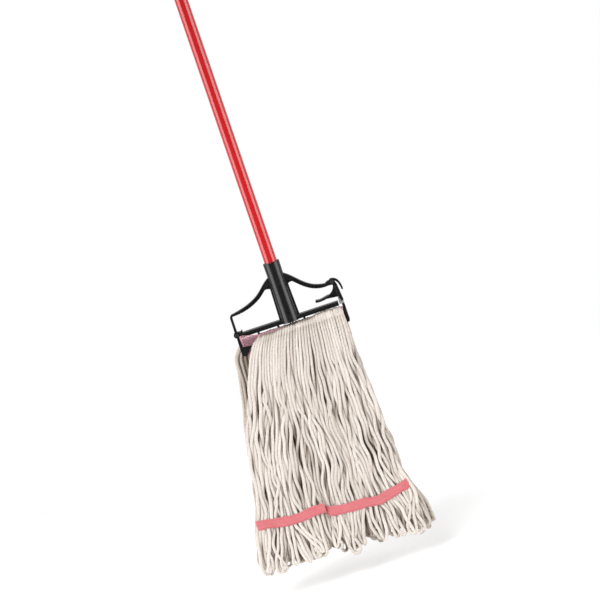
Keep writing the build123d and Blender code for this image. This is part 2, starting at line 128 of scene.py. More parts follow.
# Heights across the sheets, as (x, height at each)
FRONT_TOP = (
    [-88, -81, -74, -40, -18, 35, 55, 92, 105],
    [-26, -22, -18.4, -17.6, -15.4, -14.6, -11.4, -11, -15],
)
BACK_TOP = ([-106, -96, 105], [-20, -16, -15.6])
LOOP_ENDS = ([-215, -150, -99, -81, -46, 60, 135], [-487, -491, -492, -476, -494, -496, -508])

# Tail band
TAIL_WIDTH = 20.0
TAIL_THICKNESS = 1.3
PLEAT_X = -53.0
STITCH_ROWS = (-6.5, 0.0, 6.5)
STITCH_PITCH = 5.0

# Headband
BAND_FLAT = 127.0
MESH_CELL = 2.5
MESH_THREAD = 1.25
HEM_WIDTH = 4.0
HEM_HALF = 0.7
TUCK = 16.0
TUCK_REACH = 45.0
PUCKER_HEIGHT = 9.2
PUCKER = ([-105, -99, -88, -76, -69, -62], [PUCKER_HEIGHT, PUCKER_HEIGHT, 6.4, 3.4, 0.6, 0])


def place(points):
    """Millimetres from the socket's foot to the frame's metres."""
    return np.asarray(points, float) * MM + np.array([0, 0, FOOT])


def lerp(x, xs, ys):
    """Linear interpolation where xs may run either way."""
    xs = np.asarray(xs, float)
    ys = np.asarray(ys, float)
    order = np.argsort(xs)
    return np.interp(x, xs[order], ys[order])


def by_depth(table, z):
    """A value read from a table by how far z is below the socket's foot."""
    return np.interp(-np.asarray(z, float), *table)


# ---------------------------------------------------------------- node helpers
def new_material(name):
    """An empty node material: its tree, shader and a helper that adds nodes."""
    material = bpy.data.materials.new(name)
    material.use_nodes = True
    tree = material.node_tree
    shader = next(n for n in tree.nodes if n.type == "BSDF_PRINCIPLED")
    return material, tree, shader


def add(tree, kind, **settings):
    """A new node; each setting goes to the input of that name, or else to the node itself."""
    node = tree.nodes.new(kind)
    for key, value in settings.items():
        if key in node.inputs:
            node.inputs[key].default_value = value
        else:
            setattr(node, key, value)
    return node


def noise(tree, scale, detail=3.0, vector=None):
    """Object-space noise; scale is in features per metre."""
    node = add(tree, "ShaderNodeTexNoise", Scale=scale, Detail=detail)
    if vector is None:
        vector = add(tree, "ShaderNodeTexCoord").outputs["Object"]
    tree.links.new(vector, node.inputs["Vector"])
    return node.outputs["Fac"]


def stretched(tree, factors):
    """Object coordinates stretched along the axes, for streaks and brushed lines."""
    mapping = add(tree, "ShaderNodeMapping", Scale=factors)
    tree.links.new(add(tree, "ShaderNodeTexCoord").outputs["Object"], mapping.inputs["Vector"])
    return mapping.outputs["Vector"]


def ramp(tree, value, low, high, start=0.3, end=0.7):
    """A value spread between two colours or greys."""
    node = tree.nodes.new("ShaderNodeValToRGB")
    node.color_ramp.elements[0].position = start
    node.color_ramp.elements[1].position = end
    for element, colour in zip(node.color_ramp.elements, (low, high)):
        rgb = colour if hasattr(colour, "__len__") else (colour,) * 3
        element.color = (*rgb, 1)
    tree.links.new(value, node.inputs["Fac"])
    return node.outputs["Color"]


def bump(tree, shader, height, strength, distance):
    node = add(tree, "ShaderNodeBump", Strength=strength, Distance=distance)
    tree.links.new(height, node.inputs["Height"])
    tree.links.new(node.outputs["Normal"], shader.inputs["Normal"])


def math_node(tree, operation, a, b=None):
    node = tree.nodes.new("ShaderNodeMath")
    node.operation = operation
    for socket, value in zip(node.inputs, (a, b)):
        if value is None:
            continue
        if isinstance(value, (int, float)):
            socket.default_value = value
        else:
            tree.links.new(value, socket)
    return node.outputs[0]


# ---------------------------------------------------------------- materials
def red_steel():
    """Powder-coated tube: deep red under a clear gloss, with faint lines and orange peel."""
    material, tree, shader = new_material("red_steel")
    streaks = noise(tree, 60, vector=stretched(tree, (1, 1, 0.02)))
    reds = ramp(tree, streaks, (0.46, 0.007, 0.010), (0.56, 0.011, 0.015))
    tree.links.new(reds, shader.inputs["Base Color"])
    tree.links.new(ramp(tree, noise(tree, 140), 0.12, 0.18), shader.inputs["Roughness"])
    shader.inputs["Coat Weight"].default_value = 1.0
    shader.inputs["Coat Roughness"].default_value = 0.08
    bump(tree, shader, noise(tree, 700, 2), 0.03, 0.0001)
    return material


def moulded(name, dark, light, rough_low, rough_high, grain=1800):
    """Moulded plastic with a fine spark-eroded grain and slight flow marks."""
    material, tree, shader = new_material(name)
    flow = noise(tree, 35, vector=stretched(tree, (0.3, 1, 1)))
    tree.links.new(ramp(tree, flow, dark, light), shader.inputs["Base Color"])
    tree.links.new(ramp(tree, noise(tree, 220), rough_low, rough_high), shader.inputs["Roughness"])
    shader.inputs["Specular IOR Level"].default_value = 0.6
    bump(tree, shader, noise(tree, grain, 2), 0.12, 0.0001)
    return material


def steel(name, tone, roughness):
    """Drawn or plated steel with fine lines."""
    material, tree, shader = new_material(name)
    shader.inputs["Metallic"].default_value = 1
    lines = noise(tree, 900, vector=stretched(tree, (1, 1, 0.1)))
    tree.links.new(ramp(tree, lines, tone * 0.8, tone), shader.inputs["Base Color"])
    tree.links.new(ramp(tree, lines, roughness, roughness + 0.12), shader.inputs["Roughness"])
    bump(tree, shader, lines, 0.2, 0.0001)
    return material


def strand_uv(tree, u_factor, v_factor):
    """The piece's own UV map, multiplied; U goes round or across, V goes along, both in metres."""
    mapping = add(tree, "ShaderNodeMapping", Scale=(u_factor, v_factor, 1))
    source = tree.nodes.new("ShaderNodeUVMap")
    source.uv_map = "along"
    tree.links.new(source.outputs["UV"], mapping.inputs["Vector"])
    return mapping.outputs["Vector"]


def cotton():
    """Unbleached cotton: cream, with painted shade that turns it brown-grey deep between the strands, and fibres.
    """
    material, tree, shader = new_material("cotton_yarn")
    tone_and_painted_shade = add(tree, "ShaderNodeAttribute", attribute_name="tone_and_painted_shade").outputs["Fac"]
    # The ramp's light end is the yarn's cream; its dark end is painted shade for the crevices between strands.
    base = ramp(tree, tone_and_painted_shade, (0.27, 0.20, 0.14), (0.81, 0.745, 0.685), 0.0, 1.0)
    fleck = ramp(tree, noise(tree, 330, 4), 0.80, 1.0)
    mixed = add(tree, "ShaderNodeMix", data_type="RGBA", blend_type="MULTIPLY")
    mixed.inputs["Factor"].default_value = 1.0
    tree.links.new(base, mixed.inputs["A"])
    tree.links.new(fleck, mixed.inputs["B"])
    tree.links.new(mixed.outputs["Result"], shader.inputs["Base Color"])
    shader.inputs["Roughness"].default_value = 0.95
    shader.inputs["Specular IOR Level"].default_value = 0.15
    shader.inputs["Sheen Weight"].default_value = 0.25
    shader.inputs["Sheen Roughness"].default_value = 0.5
    fibres = noise(tree, 1.0, 3, strand_uv(tree, 900, 260))
    fuzz = noise(tree, 2600, 2)
    bump(tree, shader, math_node(tree, "ADD", fibres, fuzz), 0.5, 0.0004)
    return material


def tape():
    """Salmon tape: a ribbed weave across its length, with painted shade in the weave's hollows."""
    material, tree, shader = new_material("pink_tape")
    ribs = add(tree, "ShaderNodeTexWave", Scale=1.0, Distortion=0.6, Detail=2.0)
    ribs.wave_type = "BANDS"
    ribs.bands_direction = "Y"
    tree.links.new(strand_uv(tree, 600, 210), ribs.inputs["Vector"])
    threads = add(tree, "ShaderNodeTexWave", Scale=1.0, Distortion=0.4, Detail=1.0)
    threads.wave_type = "BANDS"
    threads.bands_direction = "X"
    tree.links.new(strand_uv(tree, 300, 80), threads.inputs["Vector"])
    weave = math_node(tree, "MULTIPLY", ribs.outputs["Fac"], threads.outputs["Fac"])
    # Base colour: painted shade darker in the weave's hollows, times random worn patches.
    weave_shade_and_wear = math_node(tree, "MULTIPLY", weave, ramp(tree, noise(tree, 45, 2), 0.55, 1.0))
    pinks = ramp(tree, weave_shade_and_wear, (0.56, 0.12, 0.135), (0.80, 0.31, 0.33), 0.05, 0.65)
    tree.links.new(pinks, shader.inputs["Base Color"])
    shader.inputs["Roughness"].default_value = 0.85
    shader.inputs["Sheen Weight"].default_value = 0.2
    bump(tree, shader, weave, 0.6, 0.0004)
    return material


def plain_cloth(name, low, high):
    """Spun thread or knitted mesh in one colour with uneven dye."""
    material, tree, shader = new_material(name)
    tree.links.new(ramp(tree, noise(tree, 260, 4), low, high), shader.inputs["Base Color"])
    shader.inputs["Roughness"].default_value = 0.9
    shader.inputs["Sheen Weight"].default_value = 0.2
    bump(tree, shader, noise(tree, 2400, 2), 0.5, 0.0003)
    return material


def make_materials():
    return {
        "red_steel": red_steel(),
        "black_plastic": moulded("black_plastic", 0.003, 0.006, 0.2, 0.28),
        "plug_plastic": moulded("plug_plastic", 0.5, 0.58, 0.5, 0.6),
        "pin_plastic": moulded("pin_plastic", 0.01, 0.018, 0.3, 0.4),
        "grey_plastic": moulded("grey_plastic", 0.22, 0.27, 0.4, 0.5),
        "plain_steel": steel("plain_steel", 0.6, 0.25),
        "spring_steel": steel("spring_steel", 0.4, 0.3),
        "cotton_yarn": cotton(),
        "pink_tape": tape(),
        "pink_mesh": plain_cloth("pink_mesh", (0.50, 0.24, 0.29), (0.66, 0.36, 0.42)),
        "pink_hem": plain_cloth("pink_hem", (0.50, 0.22, 0.27), (0.62, 0.30, 0.36)),
        "tape_thread": plain_cloth("tape_thread", (0.5, 0.1, 0.12), (0.62, 0.16, 0.18)),
    }


def dress_cad(materials):
    """Each CAD node shown gets its slot's material."""
    for part in frame["record"]["subparts"]:
        node = frame["nodes"][part["node"]]
        node.data.materials.clear()
        node.data.materials.append(materials[part["material_slot"]])


# ---------------------------------------------------------------- mesh helpers
def make_piece(name, vertices, faces, material, uvs=None, tone_and_painted_shade=None):
    """A smooth-shaded mesh object from points in metres."""
    mesh = bpy.data.meshes.new(name)
    mesh.from_pydata([tuple(v) for v in vertices], [], faces)
    mesh.materials.append(material)
    if uvs is not None:
        layer = mesh.uv_layers.new(name="along")
        layer.data.foreach_set("uv", np.asarray(uvs, np.float32).ravel())
    if tone_and_painted_shade is not None:
        attribute = mesh.attributes.new("tone_and_painted_shade", "FLOAT", "POINT")
        attribute.data.foreach_set("value", np.asarray(tone_and_painted_shade, np.float32))
    mesh.polygons.foreach_set("use_smooth", [True] * len(mesh.polygons))
    mesh.update()
    piece = bpy.data.objects.new(name, mesh)
    bpy.context.scene.collection.objects.link(piece)
    return piece


def even_steps(path, step):
    """A path sampled again at nearly even steps, with the length reached at each point."""
    runs = np.linalg.norm(np.diff(path, axis=0), axis=1)
    reach = np.concatenate([[0], np.cumsum(runs)])
    count = max(3, int(round(reach[-1] / step)) + 1)
    wanted = np.linspace(0, reach[-1], count)
    points = np.stack([np.interp(wanted, reach, path[:, k]) for k in range(3)], axis=1)
    return points, wanted


def smooth_path(path, rounds):
    """Soften a path's corners, its ends held."""
    path = path.copy()
    for _ in range(rounds):
        path[1:-1] = 0.25 * path[:-2] + 0.5 * path[1:-1] + 0.25 * path[2:]
    return path


def frames_along(path):
    """Tangents and two across directions that don't spin as the path turns."""
    tangent = np.gradient(path, axis=0)
    tangent /= np.linalg.norm(tangent, axis=1)[:, None]
    across = np.empty_like(path)
    start = np.cross(tangent[0], (0.0, 1.0, 0.0))
    across[0] = start / np.linalg.norm(start)
    for i in range(1, len(path)):
        v = across[i - 1] - tangent[i] * np.dot(across[i - 1], tangent[i])
        across[i] = v / math.sqrt(v @ v)
    return tangent, across, np.cross(tangent, across)


def ring_directions(path, angle):
    """Unit directions round a path, one ring of them at each of its points."""
    _, across, other = frames_along(path)
    cosine = np.cos(angle)[None, :, None]
    sine = np.sin(angle)[None, :, None]
    return cosine * across[:, None, :] + sine * other[:, None, :]


def twisted_tube(path, reach, radii, phase):
    """Rings of a plied yarn, with radii for x, y and z at each point: vertices, quads and UVs."""
    count = len(path)
    angle = np.linspace(0, 2 * math.pi, RING_POINTS, endpoint=False)
    turn = angle[None, :] - 2 * math.pi * reach[:, None] / PLY_PITCH + phase
    lobes = 1 - PLY_DEPTH * (1 - np.abs(np.cos(turn * PLIES / 2))) ** 1.5
    ring = ring_directions(path, angle)
    vertices = (path[:, None, :] + radii[:, None, :] * lobes[:, :, None] * ring).reshape(-1, 3)
    i = np.arange(count - 1)[:, None] * RING_POINTS
    j = np.arange(RING_POINTS)[None, :]
    k = (j + 1) % RING_POINTS
    quads = np.stack([i + j, i + k, i + RING_POINTS + k, i + RING_POINTS + j], axis=2).reshape(-1, 4)
    u = np.stack([j, j + 1, j + 1, j], axis=2) / RING_POINTS * 2 * YARN_R
    twist = reach / PLY_PITCH * 2 * YARN_R
    near = reach[:-1, None]
    far = reach[1:, None]
    v = np.stack([near + 0 * j, near + 0 * j, far + 0 * j, far + 0 * j], axis=2)
    shift = np.stack([twist[:-1, None] + 0 * j] * 2 + [twist[1:, None] + 0 * j] * 2, axis=2)
    uvs = np.stack([u - shift, v], axis=3).reshape(-1, 2) * MM
    return vertices, quads, uvs


# ---------------------------------------------------------------- yarn
class Sheet:
    """One of the mop head's two yarn sheets; side is -1 at the front and 1 at the back."""

    def __init__(self, word, side):
        self.side = side
        nodes = [frame["nodes"][f"yarn_{word}_{i + 1}"] for i in range(BUNDLES)]
        shapes = [(np.array([v.co for v in n.data.vertices]) - [0, 0, FOOT]) / MM for n in nodes]
        rows = []
        for z in sorted(set(np.round(shapes[0][:, 2], 1)), reverse=True):
            here = [s[np.abs(s[:, 2] - z) < 0.04] for s in shapes]
            if min(len(np.unique(np.round(h[:, :2]), axis=0)) for h in here) >= 4:
                here = np.concatenate(here)
                depth = np.abs(here[:, 1])
                rows.append((z, here[:, 0].min(), here[:, 0].max(), depth.min(), depth.max()))
        rows = np.array(rows)
        # A row thinner than both its neighbours lies between two of the CAD's levels.
        thick = rows[:, 4] - rows[:, 3]
        true_level = np.ones(len(rows), bool)
        true_level[1:-1] = thick[1:-1] > np.minimum(thick[:-2], thick[2:]) - 0.5
        self.z, self.left, self.right, self.inner, self.outer = rows[true_level].T
        self.fields = [
            (RNG.uniform(1.2, 4.5), RNG.uniform(-2.2, 2.2), RNG.uniform(0, 2 * math.pi))
            for _ in range(WANDERS)
        ]

    def x(self, u, z):
        """Where a share u of the sheet's width lies; the back sheet wraps round the left cheek."""
        left = lerp(z, self.z, self.left)
        if self.side > 0:
            left = left - WRAP_LEFT * by_depth(WRAP_SPAN, z)
        right = lerp(z, self.z, self.right)
        return left + u * (right - left)

    def wander(self, u, z):
        """A smooth sideways drift that neighbouring strands share, so that they gather and part."""
        total = 0
        for across, down, phase in self.fields:
            total = total + np.sin(2 * math.pi * (across * u + down * -z / 450) + phase) / across
        return total


def groove(x, z):
    """How far the pleat in the tail band pulls the front sheet in."""
    return 13 * np.exp(-((x - PLEAT_X) / 9) ** 2) * np.exp(-((z + 393) / 70) ** 2)


def outer_limit(sheet, x, z):
    """How far out a strand's centre may lie: the CAD sheet, fuller below the headband."""
    z = np.asarray(z, float)
    fuller = 4.0 * np.exp(-((z + 36) / 22) ** 2)
    limit = lerp(z, sheet.z, sheet.outer) + fuller - YARN_R
    if sheet.side < 0:
        limit = limit - groove(x, z)
    return limit


def squeezed(z):
    """Strand radii in x, y and z: flat and touching side by side at the headband, round below."""
    wide = by_depth(WIDE, z)
    thin = by_depth(THIN, z)
    return YARN_R * np.stack([wide, thin, (wide + thin) / 2], axis=1)


def relax(sheet, x, y, z, live):
    """Push overlapping strands apart, level by level; keep each one smooth and in its sheet."""
    want_x = x.copy()
    want_y = y.copy()
    inner = lerp(z, sheet.z, sheet.inner)[:, None] + YARN_R * 0.8
    room = 1.98 * (YARN_R * by_depth(SPACING, z))[:, None, None]
    both = live[:, :, None] & live[:, None, :]
    hold = by_depth(HOLD, z)[:, None]
    left = sheet.x(0.0, z)[:, None]
    right = sheet.x(1.0, z)[:, None]
    for step in range(PUSH_ROUNDS):
        dx = x[:, :, None] - x[:, None, :]
        dy = y[:, :, None] - y[:, None, :]
        gap = np.sqrt(dx * dx + dy * dy) + 1e-6
        push = np.where(both & (gap < room), (room - gap) / gap * 0.25, 0)
        x = x + (push * dx).sum(2)
        y = y + (push * dy).sum(2)
        if step < HOLD_ROUNDS:
            x += hold * (want_x - x)
            y += hold * (want_y - y)
        inside = live[:-2] & live[2:]
        for a, want in ((x, want_x), (y, want_y)):
            off = a - want
            middle = 0.25 * off[:-2] + 0.5 * off[1:-1] + 0.25 * off[2:]
            a[1:-1] = np.where(inside, want[1:-1] + middle, a[1:-1])
        x = np.clip(x, np.minimum(left, want_x), np.maximum(right, want_x))
        x = np.clip(x, left - SPLAY, right + SPLAY)
        y = np.clip(y, inner, np.maximum(outer_limit(sheet, x, z[:, None]), inner + 1))
    return x, y


def top_height(sheet, x):
    """Height of the yarn's top edge, which drops towards the band's bare left end."""
    return lerp(x, *(FRONT_TOP if sheet.side < 0 else BACK_TOP))


def own_waves(grid, count):
    """Each strand's own kinks down the grid, and the phase of its drift in and out."""
    own = RNG.uniform(0, 2 * math.pi, (len(KINKS) + 1, count))
    wave = 0
    for (height, length), phase in zip(KINKS, own):
        high = height * RNG.uniform(0.3, 1.5, count)
        long = length * RNG.uniform(0.85, 1.2, count)
        wave = wave + high * np.sin(-grid / long + phase)
    return wave, own[-1]


def lay_strands(sheet):
    """Paths of every loop in the sheet: two legs that hang side by side and meet in a round end."""
    z = np.arange(FIRST_LEVEL, LAST_LEVEL, -LEVEL_STEP)
    loops = ACROSS * LAYERS // 2
    layer = np.repeat(np.arange(LAYERS), ACROSS // 2)
    slot = np.tile(np.arange(ACROSS // 2), LAYERS)
    jitter = RNG.uniform(-0.12, 0.12, loops)
    u_loop = (slot + 0.5 + 0.25 * (layer % 2) + jitter) / (ACROSS / 2 + 0.25)
    quarter = 0.25 / (ACROSS / 2)
    u = np.stack([u_loop - quarter, u_loop + quarter], axis=1).ravel()
    u = np.clip(u, 0.004, 0.996)
    depth = np.repeat(layer, 2) / (LAYERS - 1)
    n = 2 * loops
    grid = z[:, None]
    x = sheet.x(u[None, :], grid)
    wave, drift = own_waves(grid, n)
    calm = by_depth(CALM, z)[:, None]
    edge = np.clip(np.minimum(u, 1 - u) * 9, 0, 1)[None, :]
    bend = 1.3 * np.sin(-grid / 120)
    uneven = 0.7 * np.sin(9 * u[None, :])
    gather = np.sin(2 * math.pi * BUNCHES * u[None, :] + bend + uneven)
    x = x + BUNCH_PULL * edge * gather * by_depth(BUNCHED, z)[:, None]
    x = x + calm * (wave + WANDER_PULL * sheet.wander(u[None, :], grid) * edge)
    below = np.clip(-grid + LOOPS_PART, 0, None)
    lean = np.repeat(RNG.normal(0, 0.17, loops), 2)
    spread = np.tile([-1, 1], loops) * np.repeat(RNG.uniform(0.0, 1.2, loops), 2)
    half = (sheet.x(1.0, grid) - sheet.x(0.0, grid)) * 0.25 / (ACROSS / 2) - YARN_R
    together = np.tile([1, -1], loops) * half * np.clip(below / 50, 0, 1)
    x = x + below * lean[None, :] + together + spread[None, :] * np.clip(below / 40, 0, 1)
    inner = lerp(z, sheet.z, sheet.inner)[:, None] + YARN_R
    outer = outer_limit(sheet, x, grid)
    in_and_out = 0.34 * np.sin(-grid / 30 + drift) * np.clip((-grid - 60) / 80, 0, 1)
    share = 1 - depth[None, :] + in_and_out
    y = inner + np.clip(share, 0, 1) * (outer - inner)
    bottom = lerp(x[-1, ::2], *LOOP_ENDS)
    bottom += RNG.uniform(0, 17, loops) + 4 * layer
    ends = np.repeat(bottom + 7, 2)
    live = grid > ends[None, :]
    x, y = relax(sheet, x, y, z, live)
    paths = []
    for i in range(loops):
        legs = []
        for leg in (2 * i, 2 * i + 1):
            rows = live[:, leg]
            legs.append(np.stack([x[rows, leg], sheet.side * y[rows, leg], z[rows]], axis=1))
        a, b = (np.concatenate([top_of(sheet, leg, depth[2 * i]), leg]) for leg in legs)
        middle = (a[-1] + b[-1]) / 2
        half = (a[-1] - b[-1]) / 2
        drop = max(5.0, np.linalg.norm(half))
        turn = np.linspace(0, math.pi, 9)[1:-1]
        arc = middle + np.cos(turn)[:, None] * half + np.sin(turn)[:, None] * np.array([0, 0, -drop])
        paths.append((u_loop[i], np.concatenate([a, arc, b[::-1]])))
    return paths


def top_of(sheet, leg, depth):
    """The stretch from the headband's shoulder to a leg's first level."""
    x, y, z = leg[0]
    top = top_height(sheet, x) - 5.5 * depth + RNG.uniform(-0.9, 0.5)
    edge = sheet.side * (5.2 if depth == 0 else 8.6)
    shoulder = sheet.side * (5.2 + 0.55 * (abs(y) - 5.2))
    start_x = x + 0.35 * (x - leg[3][0])
    return np.array(
        [
            (start_x, edge, top - 0.4),
            (start_x, shoulder, top - 1.6),
            (x, 0.25 * shoulder + 0.75 * y, top - 4.4),
        ]
    )


def strand_tone_and_shade(sheet, points, u):
    """Lightness at a strand's points: its own tone at random, darkened by painted shade where it is sunk in the
    sheet.
    """
    x, y, z = points.T
    sunk = outer_limit(sheet, x, z) + YARN_R - np.abs(y)
    # Less painted shade on strands at the sheet's two side edges.
    edge = np.interp(min(u, 1 - u), [0.02, 0.1], [0.35, 1.0])
    # Painted shade: the deeper a point lies below the sheet's outer surface, the darker it is.
    dark = np.clip((sunk / by_depth(SHADE_REACH, z) - 2.2) / 12, 0, 1)
    shade = edge * by_depth(SHADE_SHARE, z) * dark
    return np.clip(RNG.uniform(0.76, 1.0) - shade, 0, 1)


def build_bundle(sheet, word, number, paths, material):
    """One piece: the loops that stand for one CAD bundle."""
    vertices, faces, uvs, tones_and_shades = [], [], [], []
    total = 0
    for u, path in paths:
        if int(min(u, 0.999) * BUNDLES) != number:
            continue
        path, _ = even_steps(path, RING_STEP)
        path, reach = even_steps(smooth_path(path, 3), RING_STEP)
        radii = squeezed(path[:, 2]) * RNG.uniform(0.9, 1.1)
        points, quads, uv = twisted_tube(path, reach, radii, RNG.uniform(0, 6))
        for ring, flip in ((0, 1), (len(path) - 1, -1)):
            base = total + ring * RING_POINTS
            faces.append(tuple(range(base, base + RING_POINTS))[::-flip])
            uvs.append(np.zeros((RING_POINTS, 2)))
        vertices.append(points)
        faces += [tuple(quad) for quad in (quads + total).tolist()]
        uvs.append(uv)
        tones_and_shades.append(strand_tone_and_shade(sheet, points, u))
        total += len(points)
    points = place(np.concatenate(vertices))
    uvs = np.concatenate(uvs)
    piece = make_piece(f"{word}_yarn_{number + 1}", points, faces, material, uvs, np.concatenate(tones_and_shades))
    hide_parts(f"yarn_{word}_{number + 1}")
    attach(piece, "gate")


def build_yarn(material):
    """Both sheets, each in as many pieces as the CAD has bundles."""
    for word, side in (("front", -1), ("back", 1)):
        sheet = Sheet(word, side)
        paths = lay_strands(sheet)
        for number in range(BUNDLES):
            build_bundle(sheet, word, number, paths, material)


# ---------------------------------------------------------------- tail bands and headband
def spline_through(points, step):
    """A smooth line through the points, sampled at even steps."""
    p = np.asarray(points, float)
    ends = np.vstack([2 * p[0] - p[1], p, 2 * p[-1] - p[-2]])
    t = np.linspace(0, 1, 12, endpoint=False)[:, None]
    spans = []
    for a, b, c, d in zip(ends, ends[1:], ends[2:], ends[3:]):
        square = 2 * a - 5 * b + 4 * c - d
        cube = 3 * b - a - 3 * c + d
        spans.append(0.5 * (2 * b + (c - a) * t + square * t**2 + cube * t**3))
    return even_steps(np.concatenate([*spans, p[-1:]]), step)


def band_route(word, side):
    """The tail band's middle line, from the CAD band; the front one has a pleat with a step down."""
    node = frame["nodes"][f"tail_band_{word}"]
    corners = (np.array([v.co for v in node.data.vertices]) - [0, 0, FOOT]) / MM
    xs = sorted(set(np.round(corners[:, 0], 2)))
    heights = [corners[np.abs(corners[:, 0] - x) < 0.05, 2].mean() for x in xs]
    y = np.abs(corners[:, 1]).mean() - 0.3
    low, high = xs[0], xs[-1]
    points = [(low - 1.5, side * (y - 4.5), heights[0]), (low + 2.0, side * (y - 0.3), heights[0])]
    if side > 0:
        for x in range(int(low) + 20, int(high) - 10, 20):
            points.append((x, side * y, lerp(x, xs, heights) + 1.5 * math.sin(x / 19)))
    else:
        for x in range(int(low) + 20, int(PLEAT_X) - 16, 18):
            points.append((x, side * y, lerp(x, xs, heights) + 1.2 * math.sin(x / 17)))
        p, upper, lower = PLEAT_X, heights[2], heights[3]
        points += [
            (p - 12, -y - 1.0, upper),
            (p - 4, -y - 1.6, upper),
            (p - 1.2, -y + 1.4, upper - 1),
            (p - 3.2, -y + 6.5, upper - 4),
            (p - 1.0, -y + 8.6, upper - 8),
            (p + 4.0, -y + 4.6, lower),
            (p + 11.0, -y + 0.6, lower - 1),
        ]
        for x in range(int(PLEAT_X) + 28, int(high) - 8, 18):
            points.append((x, side * y, lerp(x, xs, heights) + 1.2 * math.sin(x / 17)))
    points += [(high - 2.0, side * (y - 0.3), heights[-1]), (high + 1.5, side * (y - 4.5), heights[-1])]
    return spline_through(points, 1.5)


def outward(route, side):
    """Unit directions out of a band's face, level and square to its line."""
    tangent = np.gradient(route, axis=0)
    normal = np.stack([tangent[:, 1], -tangent[:, 0], 0 * tangent[:, 0]], axis=1)
    normal /= np.linalg.norm(normal, axis=1)[:, None]
    return normal * np.sign(normal[len(route) // 4, 1] * side)


def build_tail_band(word, side, materials):
    """Woven tape across the sheet, its long edges drawn in a little, and its stitching."""
    route, reach = band_route(word, side)
    normal = outward(route, side)
    rows = np.linspace(-1, 1, 9)
    profile = []
    for sheet_side in (0.5, -0.5):
        for v in rows if sheet_side > 0 else rows[::-1]:
            profile.append((v, sheet_side))
    rings = []
    for v, sheet_side in profile:
        ripple = 0.35 * np.sin(reach * 2 * math.pi / 6.4 + 2 * v) * v * v
        depth = -0.7 * v * v + ripple + sheet_side * TAIL_THICKNESS * (1 - 0.35 * v**8)
        sway = 0.5 * np.sin(reach / 9.0 + v) + 0.35 * np.sin(reach / 3.1)
        ring = route + normal * depth[:, None]
        ring[:, 2] += v * TAIL_WIDTH / 2 + sway * abs(v)
        rings.append(ring)
    count = len(profile)
    vertices = np.stack(rings, axis=1).reshape(-1, 3)
    faces, uvs = [], []
    for i in range(len(route) - 1):
        for j in range(count):
            k = (j + 1) % count
            faces.append((i * count + j, (i + 1) * count + j, (i + 1) * count + k, i * count + k))
            high, low = (profile[n][0] * TAIL_WIDTH / 2 for n in (j, k))
            uvs += [(reach[i], high), (reach[i + 1], high), (reach[i + 1], low), (reach[i], low)]
    last = (len(route) - 1) * count
    faces += [tuple(range(count)), tuple(last + j for j in range(count))[::-1]]
    uvs += [(0, 0)] * (2 * count)
    uvs = np.array(uvs) * MM
    band = make_piece(f"{word}_tail_band", place(vertices), faces, materials["pink_tape"], uvs)
    thread = materials["tape_thread"]
    stitching = build_stitching(f"{word}_tail_stitching", route, reach, normal, thread)
    for piece in (band, stitching):
        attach(piece, "gate")
    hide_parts(f"tail_band_{word}")


def thread_tube(route, radii, sides=6):
    """A plain round tube: vertices and quads."""
    angle = np.linspace(0, 2 * math.pi, sides, endpoint=False)
    ring = ring_directions(route, angle)
    vertices = (route[:, None, :] + radii[:, None, None] * ring).reshape(-1, 3)
    faces = []
    for i in range(len(route) - 1):
        for j in range(sides):
            k = (j + 1) % sides
            faces.append((i * sides + j, i * sides + k, (i + 1) * sides + k, (i + 1) * sides + j))
    faces += [tuple(range(sides))[::-1], tuple((len(route) - 1) * sides + j for j in range(sides))]
    return vertices, faces


def build_stitching(name, route, reach, normal, material):
    """Rows of running stitches that dive through the tape between one stitch and the next."""
    vertices, faces, total = [], [], 0
    for row in STITCH_ROWS:
        share = row / (TAIL_WIDTH / 2)
        rise = np.abs(np.sin(math.pi * reach / STITCH_PITCH + row))
        lift = -0.7 * share * share + TAIL_THICKNESS * 0.5 - 0.35 + 0.6 * rise**0.6
        line = route + normal * lift[:, None]
        line[:, 2] += row
        points, quads = thread_tube(line, 0.34 + 0.1 * rise)
        vertices.append(points)
        faces += [tuple(total + n for n in f) for f in quads]
        total += len(points)
    return make_piece(name, place(np.concatenate(vertices)), faces, material)


def band_section(x, top, low):
    """The headband's line over the gate bar at one place; it puckers up near its bare left end."""
    rise = lerp(x, *PUCKER)
    swell = rise / PUCKER_HEIGHT
    front = -7.5 - 0.9 * swell
    points = [
        (front, low),
        (front, low + 18),
        (front, top - 14),
        (front - 0.4 * swell, top - 5 + 0.5 * rise),
        (front - 0.2 * swell, top + rise),
        (front + 0.7, top - 0.6 + 0.8 * rise),
        (-7.0 - 0.6 * swell, top - 1.6),
        (-3.6, top - 0.2),
        (3.0, top),
        (6.3, top - 1.6),
        (7.5, top - 6),
        (7.5, top - 14),
        (7.5, low + 18),
        (7.5, low),
    ]
    points = [(0, y, z) for y, z in points]
    line, _ = spline_through(points, 0.5)
    return line


def tucked(x, z, left):
    """The band's places across, its bare lower left corner drawn in behind the yarn."""
    sideways = np.interp(x, [left, left + TUCK_REACH], [1, 0])
    return x + TUCK * sideways * np.interp(z, [-62, -38], [1, 0])


